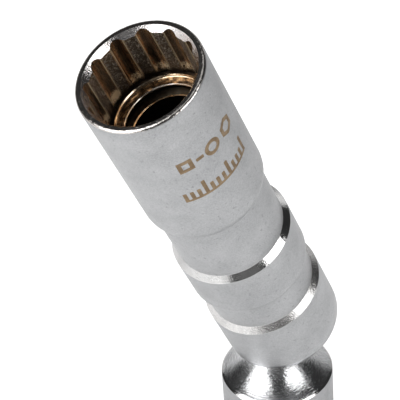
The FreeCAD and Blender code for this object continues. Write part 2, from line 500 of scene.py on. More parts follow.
@dataclass(frozen=True)
class BroachedNickel:
    """Warm nickel over the broached inside: smooth flutes, flecked lands, and painted shade that
    blackens it with depth.

    The painted shade and the painted highlights at the flutes' ends are placed by their depth
    below the mouth; a painted highlight also runs along the ridge beside each flute.
    """

    light: Colour = (0.92, 0.64, 0.40)
    dark: Colour = (0.25, 0.155, 0.095)
    land: Colour = (0.15, 0.108, 0.078)
    fleck: Colour = (0.80, 0.72, 0.62)
    # the colour of the painted highlights, along the ridge beside each flute and at the flutes'
    # ends
    ridge: Colour = (1.0, 0.80, 0.53)
    # the colour of the painted shade deep in the opening
    painted_shade: Colour = (0.030, 0.022, 0.016)
    roughness: float = 0.24
    # the depths below the mouth where the painted shade starts and where it is full
    painted_shade_start: float = 7.9
    painted_shade_end: float = 9.5
    # where the painted ridge highlight is centred, in millimetres past the land
    ridge_highlight_out: float = 0.09
    # the depth below the mouth of the painted highlights at the flutes' ends
    painted_glint_depth: float = 8.8

    def make(self, pose: Pose, land: float, name: str = "broached_nickel") -> Material:
        """Builds the material.

        Args:
            pose: The socket's lean, that the streaks follow.
            land: The radius of the lands.
            name: The material's name.

        Returns:
            The material.
        """
        shop = PaintShop(name)
        where = shop.upright(pose)
        x, y, z = (part * TO_MM for part in shop.parts(where))
        out = (x * x + y * y).power(0.5) - land
        depth = pose.ball_depth - z
        streak = shop.noise(shop.stretched(where, (1.0, 1.0, 0.05)), 1500.0, 3.0, 0.6)
        cloud = shop.noise(shop.stretched(where, (1.0, 1.0, 0.35)), 420.0, 3.0, 0.6)
        grain = shop.noise(where, 4600.0, 2.0, 0.6)
        on_land = (1.0 - out / 0.06).clamped()
        # painted highlight: a bright line along the ridge beside each flute
        ridge_highlight = (1.0 - (out - self.ridge_highlight_out).magnitude() / 0.10).clamped()
        # painted highlights at the flutes' ends, broken up by noise
        painted_glint = (1.3 - (depth - self.painted_glint_depth).magnitude() / 0.8).clamped()
        painted_glint = painted_glint * (out / 0.25).clamped() * ((grain * 0.4 + cloud * 0.6 - 0.42) * 10.0)
        painted_glint = painted_glint.clamped()
        speck = ((grain - 0.52) * 9.0).clamped() * on_land
        tone = (streak * 0.4 + cloud * 0.6).clamped()
        # painted shade: darker with depth below the mouth, broken up by noise, starting a little
        # deeper in the flutes than on the lands; reach is its share
        shade_depth = depth + cloud * 2.4 - 1.2 - (out / 0.5).clamped() * 0.9
        reach = shade_depth.between(self.painted_shade_start, self.painted_shade_end)
        colour = shop.ramp(tone, [(0.41, self.dark), (0.57, self.light)])
        colour = shop.blend(on_land, colour, self.land)
        colour = shop.blend(speck * 0.8, colour, self.fleck)
        # the painted ridge highlight over the nickel
        colour = shop.blend(ridge_highlight * 0.9, colour, self.ridge)
        return shop.finish({
            # the painted highlights over the painted shade over the nickel's colour
            "Base Color": shop.blend(painted_glint, shop.blend(reach, colour, self.painted_shade), self.ridge),
            # the painted highlights are also made less metallic
            "Metallic": (0.95 - ridge_highlight * 0.40 - speck * 0.45 - painted_glint * 0.65).clamped(),
            "Roughness": (
                streak * 0.10 + on_land * 0.08 - ridge_highlight * 0.05 + (self.roughness - 0.05)
            ),
            "Normal": shop.bump(streak * 0.6 + grain * (on_land + 0.15), 0.00005, 0.40),
        })


@dataclass(frozen=True)
class WarmPlate:
    """Warm nickel plate on the turned rings of the magnet's seat, flecked and streaked round."""

    light: Colour = (0.80, 0.66, 0.48)
    dark: Colour = (0.40, 0.28, 0.17)
    roughness: float = 0.22
    fleck: float = 1500.0

    def make(self, name: str) -> Material:
        """Builds the material.

        Args:
            name: The material's name.

        Returns:
            The material.
        """
        shop = PaintShop(name)
        where = shop.place()
        patch = shop.noise(where, self.fleck, 3.0, 0.65)
        return shop.finish({
            "Base Color": shop.ramp(patch, [(0.38, self.dark), (0.62, self.light)]),
            "Metallic": 1.0,
            "Roughness": patch * 0.16 + (self.roughness - 0.08),
            "Normal": shop.bump(patch, 0.00004, 0.35),
        })


@dataclass(frozen=True)
class DarkMetal:
    """An oiled, blackened or sintered metal that is seen only in shade."""

    colour: Colour
    roughness: float

    def make(self, name: str) -> Material:
        """Builds the material.

        Args:
            name: The material's name.

        Returns:
            The material.
        """
        shop = PaintShop(name)
        where = shop.place()
        grain = shop.noise(where, 2200.0, 3.0, 0.6)
        dim = tuple(0.7 * value for value in self.colour)
        return shop.finish({
            "Base Color": shop.ramp(grain, [(0.35, dim), (0.65, self.colour)]),
            "Metallic": 1.0,
            "Roughness": grain * 0.12 + (self.roughness - 0.06),
            "Normal": shop.bump(grain, 0.00003, 0.3),
        })


@dataclass(frozen=True)
class EtchedOxide:
    """The brown oxide that a marking laser leaves on chrome."""

    colour: Colour = (0.225, 0.150, 0.082)
    pale: Colour = (0.36, 0.26, 0.155)

    def make(self, name: str = "etched_oxide") -> Material:
        """Builds the material.

        Args:
            name: The material's name.

        Returns:
            The material.
        """
        shop = PaintShop(name)
        where = shop.place()
        patch = shop.noise(where, 900.0, 3.0, 0.6)
        return shop.finish({
            "Base Color": shop.ramp(patch, [(0.4, self.colour), (0.68, self.pale)]),
            "Metallic": 0.55,
            "Roughness": patch * 0.2 + 0.42,
            "Normal": shop.bump(patch, 0.00002, 0.3),
        })


@dataclass(frozen=True)
class PaleTable:
    """The pale floor, white to the camera, with the socket's shadow kept.

    What mirrors see of it is a painted glow: brightest a little way off the foot as a painted pool
    of light, darker at the foot as a painted shadow of the socket, and duller towards its rim. The
    reach is in metres.
    """

    colour: Colour = (0.80, 0.80, 0.80)
    glow: float = 0.75
    # glow levels for mirrors: a painted shadow at the foot, a painted pool of light near it,
    # dimmer far off
    foot: float = 0.36
    near: float = 0.56
    far: float = 0.20
    reach: float = 0.32

    def make(self, name: str = "pale_table") -> Material:
        """Builds the material.

        Args:
            name: The material's name.

        Returns:
            The material.
        """
        shop = PaintShop(name)
        path = shop.node("ShaderNodeLightPath")
        seen = Term(shop, path.outputs["Is Camera Ray"])
        mirrored = Term(shop, path.outputs["Is Glossy Ray"])
        x, y, _ = shop.parts(shop.node("ShaderNodeTexCoord").outputs["Object"])
        away = ((x * x + y * y).power(0.5) / self.reach).clamped()
        stops = ((0.08, self.foot), (0.22, self.near), (1.0, self.far))
        # painted pool of light and painted shadow, seen only by glossy rays
        level = shop.ramp(away, [(place, (value,) * 3) for place, value in stops])
        dim = shop.blend(mirrored, (0.0, 0.0, 0.0), level)
        shown = shop.ramp(away, [(0.5, (self.glow,) * 3), (1.0, (1.0, 1.0, 1.0))])
        return shop.finish({
            "Base Color": (*self.colour, 1.0),
            "Roughness": 0.9,
            "Specular IOR Level": 0.0,
            "Emission Color": shop.blend(seen, dim, shown),
            "Emission Strength": 1.0,
        })


class Bench:
    """The operations that shape a mesh, as they are done by hand."""

    @staticmethod
    def clear() -> None:
        """Leaves edit mode and deselects everything."""
        if bpy.context.object and bpy.context.object.mode != "OBJECT":
            bpy.ops.object.mode_set(mode="OBJECT")
        bpy.ops.object.select_all(action="DESELECT")

    @staticmethod
    def pick(piece: Object) -> None:
        """Selects one object alone and makes it the active one.

        Args:
            piece: The object.
        """
        Bench.clear()
        piece.select_set(True)
        bpy.context.view_layer.objects.active = piece

    @staticmethod
    def select(piece: Object, test: Callable[[Vector], bool], mode: str = "VERT") -> None:
        """In edit mode, selects what passes a test on its place.

        Args:
            piece: The object in edit mode.
            test: Takes a vertex's place, or an edge's or face's middle, in millimetres.
            mode: VERT, EDGE or FACE.
        """
        bpy.ops.mesh.select_mode(type=mode)
        bpy.ops.mesh.select_all(action="DESELECT")
        mesh = bmesh.from_edit_mesh(piece.data)
        if mode == "VERT":
            for vertex in mesh.verts:
                vertex.select = test(vertex.co / MM)
        elif mode == "EDGE":
            for edge in mesh.edges:
                edge.select = test((edge.verts[0].co + edge.verts[1].co) / 2 / MM)
        else:
            for face in mesh.faces:
                face.select = test(face.calc_center_median() / MM)
        mesh.select_flush_mode()
        bmesh.update_edit_mesh(piece.data)

    @staticmethod
    def select_numbers(piece: Object, numbers: Iterable[int]) -> None:
        """In edit mode, selects vertices by their numbers.

        Args:
            piece: The object in edit mode.
            numbers: The vertices' numbers.
        """
        bpy.ops.mesh.select_mode(type="VERT")
        bpy.ops.mesh.select_all(action="DESELECT")
        mesh = bmesh.from_edit_mesh(piece.data)
        mesh.verts.ensure_lookup_table()
        for number in numbers:
            mesh.verts[number].select = True
        mesh.select_flush_mode()
        bmesh.update_edit_mesh(piece.data, loop_triangles=False, destructive=False)

    @staticmethod
    def select_ring(piece: Object, radius: float) -> None:
        """In edit mode, selects the ring of a radius at height 0.

        Args:
            piece: The object in edit mode.
            radius: The ring's radius.
        """
        near = 0.001
        Bench.select(
            piece, lambda at: abs(at.z) < near and abs(math.hypot(at.x, at.y) - radius) < near
        )

    @staticmethod
    def pull_rings(radius: float, height: float, rings: Iterable[Ring]) -> None:
        """Extrudes the selected ring from one ring to the next.

        Args:
            radius: The selected ring's radius.
            height: Its height.
            rings: Radius and height of each next ring. A radius of 0 closes the form in a point.
        """
        for next_radius, next_height in rings:
            shift = (0.0, 0.0, (next_height - height) * MM)
            bpy.ops.mesh.extrude_region_move(TRANSFORM_OT_translate={"value": shift})
            if next_radius == 0.0:
                bpy.ops.mesh.merge(type="CENTER")
                return
            if next_radius != radius:
                share = next_radius / radius
                centre = (0.0, 0.0, next_height * MM)
                bpy.ops.transform.resize(value=(share, share, 1.0), center_override=centre)
            radius, height = next_radius, next_height

    @staticmethod
    def turn(name: str, rings: Sequence[Ring], steps: int, loop: bool = False) -> Object:
        """Turns a form from a circle that is pulled from ring to ring.

        Args:
            name: The new object's name.
            rings: Radius and height of every ring.
            steps: Vertices in a ring.
            loop: True if the last ring meets the first.

        Returns:
            The object, in object mode.
        """
        Bench.clear()
        radius, height = rings[0]
        place = (0.0, 0.0, height * MM)
        bpy.ops.mesh.primitive_circle_add(vertices=steps, radius=radius * MM, location=place)
        piece = bpy.context.object
        piece.name = name
        bpy.ops.object.transform_apply(location=True, rotation=True, scale=True)
        bpy.ops.object.mode_set(mode="EDIT")
        bpy.ops.mesh.select_all(action="SELECT")
        Bench.pull_rings(radius, height, list(rings[1:]) + ([rings[0]] if loop else []))
        bpy.ops.mesh.select_all(action="SELECT")
        bpy.ops.mesh.remove_doubles(threshold=0.0002 * MM)
        bpy.ops.object.mode_set(mode="OBJECT")
        return piece

    @staticmethod
    def apply(piece: Object, kind: str, **settings: object) -> None:
        """Adds a modifier and applies it.

        Args:
            piece: The object.
            kind: The modifier's type.
            **settings: Its settings.
        """
        Bench.pick(piece)
        modifier = piece.modifiers.new(kind.lower(), kind)
        for name, value in settings.items():
            setattr(modifier, name, value)
        bpy.ops.object.modifier_apply(modifier=modifier.name)

    @staticmethod
    def carve(piece: Object, cutter: Object) -> None:
        """Cuts one object out of another.

        Args:
            piece: The object that is cut.
            cutter: What is cut out of it, which is removed afterwards.
        """
        Bench.apply(piece, "BOOLEAN", object=cutter, operation="DIFFERENCE", solver="EXACT")
        mesh = cutter.data
        bpy.data.objects.remove(cutter)
        bpy.data.meshes.remove(mesh)

    @staticmethod
    def smooth(piece: Object, angle: float = 38.0) -> None:
        """Turns the faces outwards and smooths all but the sharp edges.

        Args:
            piece: The object.
            angle: The turn in degrees past which an edge stays sharp.
        """
        Bench.pick(piece)
        bpy.ops.object.mode_set(mode="EDIT")
        bpy.ops.mesh.select_all(action="SELECT")
        bpy.ops.mesh.normals_make_consistent(inside=False)
        bpy.ops.object.mode_set(mode="OBJECT")
        bpy.ops.object.shade_smooth_by_angle(angle=math.radians(angle))
        Bench.apply(piece, "WEIGHTED_NORMAL", mode="FACE_AREA", weight=60, keep_sharp=True)

    @staticmethod
    def settle(piece: Object, place: Matrix) -> None:
        """Puts a finished piece in place, with the place in its mesh.

        Args:
            piece: The piece.
            place: Its place.
        """
        Bench.pick(piece)
        piece.matrix_world = place
        bpy.ops.object.transform_apply(location=True, rotation=True, scale=True)

    @staticmethod
    def dress(piece: Object, base: Material, zones: Sequence[tuple[Material, FaceTest]]) -> None:
        """Gives the piece its finishes, before it is put in place.

        Args:
            piece: The piece, about the Z axis.
            base: The finish of the rest.
            zones: A finish and the test on radius, height and normal of the faces that have it.
        """
        piece.data.materials.clear()
        piece.data.materials.append(base)
        for index, (finish, test) in enumerate(zones, start=1):
            piece.data.materials.append(finish)
            for face in piece.data.polygons:
                middle = face.center / MM
                if test(math.hypot(middle.x, middle.y), middle.z, face.normal):
                    face.material_index = index


class Outline:
    """The half section of a turned form, as rings."""

    def __init__(self, fineness: float = 9.0) -> None:
        """Starts an empty half section.

        Args:
            fineness: The largest turn from one ring to the next in a rounding.
        """
        self.fineness = fineness
        self.corners: list[Corner] = []

    def to(self, radius: float, height: float, rounding: float = 0.0) -> "Outline":
        """Goes straight on to a corner.

        Args:
            radius: The corner's radius.
            height: Its height.
            rounding: The radius that rounds it, or 0.

        Returns:
            This half section.
        """
        self.corners.append((radius, height, rounding))
        return self

    def sweep(
        self,
        centre: Ring,
        radius: float,
        start: float,
        end: float,
        steps: int,
        rounding: float = 0.0,
    ) -> "Outline":
        """Goes on along an arc.

        Args:
            centre: The arc's centre.
            radius: Its radius.
            start: The angle it starts at, from the radial direction.
            end: The angle it ends at.
            steps: Its number of chords.
            rounding: The rounding of the corner at its end.

        Returns:
            This half section.
        """
        for step in range(steps + 1):
            angle = math.radians(start + (end - start) * step / steps)
            across, up = radius * math.cos(angle), radius * math.sin(angle)
            self.to(centre[0] + across, centre[1] + up, rounding if step == steps else 0.0)
        return self

    def rings(self) -> list[Ring]:
        """Works out the roundings.

        Returns:
            The rings of the half section.
        """
        found: list[Ring] = []
        for index, (radius, height, rounding) in enumerate(self.corners):
            if rounding == 0.0 or index in (0, len(self.corners) - 1):
                ring = (radius, height)
                if not found or math.dist(found[-1], ring) > 1e-5:
                    found.append(ring)
                continue
            found += self._rounded(index)
        return found

    def _rounded(self, index: int) -> list[Ring]:
        """Rounds one corner.

        Args:
            index: The corner's number.

        Returns:
            The rings of its rounding.
        """
        corner = Vector(self.corners[index][:2])
        rounding = self.corners[index][2]
        back = (Vector(self.corners[index - 1][:2]) - corner).normalized()
        ahead = (Vector(self.corners[index + 1][:2]) - corner).normalized()
        inside = back.angle(ahead)
        reach = rounding / math.tan(inside / 2)
        middle = corner + (back + ahead).normalized() * (rounding / math.sin(inside / 2))
        turn = math.pi - inside
        count = max(2, math.ceil(math.degrees(turn) / self.fineness))
        first = corner + back * reach - middle
        last = corner + ahead * reach - middle
        rings = []
        for step in range(count + 1):
            share = step / count
            arm = first * math.sin((1 - share) * turn) + last * math.sin(share * turn)
            arm /= math.sin(turn)
            rings.append((middle.x + arm.x, middle.y + arm.y))
        return rings


@dataclass(frozen=True)
class ShellFinishes:
    """The finishes of the socket's zones, from the outside inwards."""

    satin: Material
    rim: Material
    chamfer: Material
    brushed: Material
    lead_in: Material
    flutes: Material
    seat: Material
    bore: Material


@dataclass
class SocketShell:
    """The one-piece socket: turned outside, twelve-point opening, bore and ball cup.

    Lengths along it are depths below the mouth's face. Pairs are a radius and a depth, apart from
    the ridge beside a flute, which is degrees past the flute's edge and height over the land, and
    the seat's groove, which is counted from the seat's wall and from the ledge above it.
    """

    pose: Pose
    radius: float = 9.5
    neck: float = 8.6
    rim: float = 0.50
    bright_rim: Ring = (8.55, 0.30)
    head_end: float = 26.3
    head_arc: float = 3.0
    band_one: float = 39.7
    land_end: float = 48.8
    land_arc: float = 1.5
    band_two: float = 55.7
    band_two_over: float = 0.03
    tail_rings: tuple[float, float] = (60.5, 64.5)
    end_arc: float = 2.5
    end_sweep: float = 74.6
    length: float = 69.9
    edge: float = 0.07
    shoulder_edge: float = 0.12
    points: int = 12
    land: float = 7.8
    flute_floor: float = 8.3
    flute_round: float = 1.38
    flute_arc: float = 48.5
    arc_points: int = 10
    ridge: tuple[Ring, Ring] = ((0.05, 0.045), (1.10, 0.0))
    lead_in: Ring = (8.57, 0.9)
    broach: float = 10.15
    runout: float = 8.9
    runout_share: float = 0.25
    flute_clock: float = -157.05
    seat: float = 7.3
    seat_bevel: float = 0.15
    seat_groove: tuple[Ring, ...] = ((0.0, 0.30), (0.07, 0.35), (0.07, 0.42), (0.0, 0.47))
    seat_floor: float = 13.0
    bore: float = 5.75
    bore_bevel: float = 0.13
    bore_end: float = 46.495
    drill_half_angle: float = 59.0
    drill_tip: float = 0.4
    cup: float = 7.1
    cup_flare: float = 0.65
    ring_groove: tuple[float, float, float] = (7.7, 67.37, 68.23)
    chamber: Ring = (5.0, 52.4)
    slot_half: float = 1.55
    slot_radii: tuple[float, float] = (5.0, 8.06)
    slot_rise: float = 4.2
    steps: int = 360

    def outside(self) -> list[Ring]:
        """The half section of the outside and the ball cup.

        Returns:
            The rings from the rim's inner edge down the outside to the joint chamber's middle.
        """
        end_centre = (self.radius - self.end_arc, -(self.length - self.end_arc))
        step = self.radius - self.neck
        ball = -self.pose.ball_depth
        rise = math.sqrt(self.cup ** 2 - self.chamber[0] ** 2)
        cup_angle = math.degrees(math.atan2(rise, self.chamber[0]))
        groove, top, bottom = self.ring_groove
        line = Outline().to(self.lead_in[0], 0.0).to(self.radius, 0.0, self.rim)
        self._shoulder(line, self.head_end, self.head_arc)
        line.to(self.neck, -self.band_one, self.edge)
        line.to(self.radius, -self.band_one - step, self.edge)
        self._shoulder(line, self.land_end, self.land_arc)
        line.to(self.neck, -self.band_two + self.band_two_over, self.edge)
        line.to(self.radius, -self.band_two - step - self.band_two_over, self.edge)
        for depth in self.tail_rings:
            line.to(self.radius, -depth)
        line.sweep(end_centre, self.end_arc, 0.0, -self.end_sweep, 16, self.edge)
        line.to(self.cup, -self.length + self.cup_flare)
        line.to(self.cup, -bottom).to(groove, -bottom).to(groove, -top).to(self.cup, -top)
        line.sweep((0.0, ball), self.cup, 0.0, cup_angle, 10)
        line.to(self.chamber[0], -self.chamber[1]).to(0.0, -self.chamber[1])
        return line.rings()

    def _shoulder(self, line: Outline, start: float, arc: float) -> None:
        """Adds a rounded step down from the full radius to the neck.

        Args:
            line: The half section.
            start: The depth at which the rounding starts.
            arc: The rounding's radius.
        """
        for above in (5.0, 1.0):
            line.to(self.radius, -start + above)
        centre = (self.radius - arc, -start)
        last = math.degrees(math.acos((self.neck - centre[0]) / arc))
        line.sweep(centre, arc, 0.0, -last, max(5, math.ceil(last / 5.0)), self.shoulder_edge)

    def inside(self) -> list[Ring]:
        """The half section of the opening and the bore.

        Returns:
            The rings from the lead-in's foot down to the drill's point.
        """
        ledge, floor = -self.broach, -self.seat_floor
        rings = [(self.land, -self.lead_in[1]), (self.land, -self.runout), (self.land, ledge)]
        rings += [(self.seat + self.seat_bevel, ledge), (self.seat, ledge - self.seat_bevel)]
        rings += [(self.seat + out, ledge - down) for out, down in self.seat_groove]
        rings += [(self.seat, floor), (self.bore + self.bore_bevel, floor)]
        rings += [(self.bore, floor - self.bore_bevel), (self.bore, -self.bore_end)]
        point = self.bore / math.tan(math.radians(self.drill_half_angle))
        tip = -self.bore_end - point * (1 - self.drill_tip / self.bore)
        return rings + [(self.drill_tip, tip), (0.0, -self.bore_end - point)]

    def flute(self) -> list[Ring]:
        """The section of half a pitch, from a flute's middle to a land's middle.

        Returns:
            The angle from the flute's middle and the radius of each vertex.
        """
        centre = self.flute_floor - self.flute_round
        cosine = (centre ** 2 + self.land ** 2 - self.flute_round ** 2) / (2 * centre * self.land)
        edge = math.degrees(math.acos(cosine))
        shape = []
        for index in range(self.arc_points):
            turn = math.radians(self.flute_arc * index / (self.arc_points - 1))
            across = self.flute_round * math.sin(turn)
            out = centre + self.flute_round * math.cos(turn)
            shape.append((math.degrees(math.atan2(across, out)), math.hypot(across, out)))
        shape += [(edge + past, self.land + over) for past, over in self.ridge]
        last = shape[-1][0]
        rest = 180.0 / self.points - last
        return shape + [(last + rest * share, self.land) for share in (0.25, 0.5, 0.75, 1.0)]

    def stations(self, piece: Object) -> dict[tuple[int, int], list[int]]:
        """Sorts the vertices of the opening's wall by their place.

        Args:
            piece: The turned shell, in edit mode.

        Returns:
            The vertices' numbers by ring, from the top, and by steps from the nearest flute's
            middle.
        """
        pitch = 360.0 / self.points
        heights = (-self.lead_in[1], -self.runout, -self.broach)
        found = defaultdict(list)
        for vertex in bmesh.from_edit_mesh(piece.data).verts:
            place = vertex.co / MM
            if abs(math.hypot(place.x, place.y) - self.land) > 0.01:
                continue
            turn = math.degrees(math.atan2(place.y, place.x))
            step = round((turn - round(turn / pitch) * pitch) * self.steps / 360.0)
            for ring, height in enumerate(heights):
                if abs(place.z - height) < 0.01:
                    found[ring, step].append(vertex.index)
        return found

    def broach_flutes(self, piece: Object) -> None:
        """Opens the flutes in the three rings of the opening's wall.

        The top ring climbs the lead-in's cone as it goes outwards, and the lowest goes out only in
        part, where the broach has run out.

        Args:
            piece: The turned shell.
        """
        slope = self.lead_in[1] / (self.lead_in[0] - self.land)
        shape, middle = self.flute(), (0.0, 0.0, 0.0)
        Bench.pick(piece)
        bpy.ops.object.mode_set(mode="EDIT")
        for (ring, step), numbers in self.stations(piece).items():
            angle, radius = shape[abs(step)]
            share, climb = ((1.0, slope), (1.0, 0.0), (self.runout_share, 0.0))[ring]
            out = (radius - self.land) * share
            size = 1.0 + out / self.land
            clockwise = math.radians(step * 360.0 / self.steps - math.copysign(angle, step))
            Bench.select_numbers(piece, numbers)
            bpy.ops.transform.resize(value=(size, size, 1.0), center_override=middle)
            bpy.ops.transform.rotate(value=clockwise, orient_axis="Z", center_override=middle)
            bpy.ops.transform.translate(value=(0.0, 0.0, out * climb * MM))
        bpy.ops.object.mode_set(mode="OBJECT")

    def slot_cutter(self, side: int) -> Object:
        """The cutter of one pin slot, round at its upper end.

        Args:
            side: 1 or -1, the side of the cup.

        Returns:
            The cutter.
        """
        half, (inner, outer) = self.slot_half, self.slot_radii
        top, bottom = -self.pose.ball_depth + self.slot_rise, -self.length - 1.0
        place = (side * (inner + outer) / 2 * MM, 0.0, (top + bottom) / 2 * MM)
        Bench.clear()
        bpy.ops.mesh.primitive_cube_add(size=1.0, location=place)
        cutter = bpy.context.object
        cutter.scale = ((outer - inner) * MM, 2 * half * MM, (top - bottom) * MM)
        bpy.ops.object.transform_apply(location=True, rotation=True, scale=True)
        bpy.ops.object.mode_set(mode="EDIT")
        Bench.select(cutter, lambda at: at.z > top - 0.1 and abs(at.y) > half - 0.1, "EDGE")
        bpy.ops.mesh.bevel(offset=(half - 0.01) * MM, segments=10, affect="EDGES")
        bpy.ops.object.mode_set(mode="OBJECT")
        return cutter

    def zones(self, finishes: ShellFinishes) -> list[tuple[Material, FaceTest]]:
        """Says which faces have which finish.

        Args:
            finishes: The finishes.

        Returns:
            Each finish but the base, with the test on its faces.
        """
        slack = 0.05
        step = self.radius - self.neck
        inner, rim_end = self.bright_rim[0], -self.bright_rim[1]
        cone_end, ledge = -self.lead_in[1] - 0.001, -self.broach
        seat, seat_end = self.seat + self.seat_bevel + 0.01, -self.seat_floor - 0.3
        flute_reach = self.flute_floor + 3 * slack
        cup_reach, cup_edge, cup_end = 8.1, 7.6, -69.0

        def chamfer(depth: float) -> FaceTest:
            """The test for the chamfer that starts at a depth."""
            low, high = -depth - step - slack, -depth + slack
            return lambda r, z, n: low < z < high and inner < r < self.radius + 0.1

        def on_cone(z: float, normal: Vector) -> bool:
            """Whether a face lies on the lead-in's cone."""
            return z > cone_end and normal.z > 0.5

        def on_ledge(z: float, normal: Vector) -> bool:
            """Whether a face lies on the ledge where the flutes end."""
            return normal.z > 0.9 and z > ledge - slack

        return [
            (finishes.rim, lambda r, z, n: z > rim_end and r > inner),
            (finishes.lead_in, lambda r, z, n: on_cone(z, n) and r < self.lead_in[0]),
            (finishes.chamfer, chamfer(self.band_one)),
            (finishes.brushed, chamfer(self.band_two)),
            (
                finishes.flutes,
                lambda r, z, n: ledge - slack < z and r < flute_reach and not on_cone(z, n),
            ),
            (
                finishes.seat,
                lambda r, z, n: seat_end < z < ledge + slack and r < seat and not on_ledge(z, n),
            ),
            (
                finishes.bore,
                lambda r, z, n: z < seat_end and r < cup_reach and (r < cup_edge or z > cup_end),
            ),
        ]

    def build(self, finishes: ShellFinishes) -> Object:
        """Makes the shell and puts it in place of its solid.

        Args:
            finishes: The finishes of its zones.

        Returns:
            The shell.
        """
        piece = Bench.turn("socket_shell", self.outside(), self.steps)
        Bench.pick(piece)
        bpy.ops.object.mode_set(mode="EDIT")
        Bench.select_ring(piece, self.lead_in[0])
        Bench.pull_rings(self.lead_in[0], 0.0, self.inside())
        bpy.ops.object.mode_set(mode="OBJECT")
        self.broach_flutes(piece)
        Bench.settle(piece, Matrix.Rotation(math.radians(self.flute_clock), 4, "Z"))
        for side in (1, -1):
            Bench.carve(piece, self.slot_cutter(side))
        Bench.smooth(piece)
        Bench.dress(piece, finishes.satin, self.zones(finishes))
        Bench.settle(piece, self.pose.mouth())
        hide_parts("socket_body")
        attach(piece, Rider.SOCKET.value)
        return piece


@dataclass
class MagnetStack:
    """The plated washer and the black ring magnet in the socket's seat."""

    pose: Pose
    seat: float = 7.29
    front: float = 11.0
    washer: float = 0.5
    washer_bore: float = 6.2
    washer_bevel: float = 0.12
    magnet_bore: float = 6.35
    floor: float = 13.0
    steps: int = 240

    def build(
        self, plate: Material, bright: Material, black: Material
    ) -> list[Object]:
        """Makes both rings in place of their solids.

        Args:
            plate: The washer's finish.
            bright: The finish of the washer's bevel.
            black: The magnet's finish.

        Returns:
            The two pieces.
        """
        back = self.front + self.washer
        ring = Outline(15.0).to(self.seat, -back).to(self.seat, -self.front, 0.04)
        ring.to(self.washer_bore + self.washer_bevel, -self.front, 0.03)
        ring.to(self.washer_bore, -self.front - self.washer_bevel, 0.03)
        ring.to(self.washer_bore, -back)
        washer = Bench.turn("washer_ring", ring.rings(), self.steps, loop=True)
        body = Outline(20.0).to(self.seat, -self.floor).to(self.seat, -back)
        body.to(self.magnet_bore, -back, 0.06).to(self.magnet_bore, -self.floor)
        magnet = Bench.turn("magnet_body", body.rings(), self.steps, loop=True)
        made = []
        edge = self.washer_bore + self.washer_bevel + 0.01
        for piece, finish, zones, node, slot in (
            (washer, plate, [(bright, lambda r, z, n: r < edge)], "retaining_washer", Slot.WASHER),
            (magnet, black, [], "magnet_ring", Slot.MAGNET),
        ):
            Bench.smooth(piece)
            Bench.dress(piece, finish, zones)
            Bench.settle(piece, self.pose.mouth())
            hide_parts(node)
            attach(piece, Rider.SOCKET.value)
            made.append(piece)
        return made


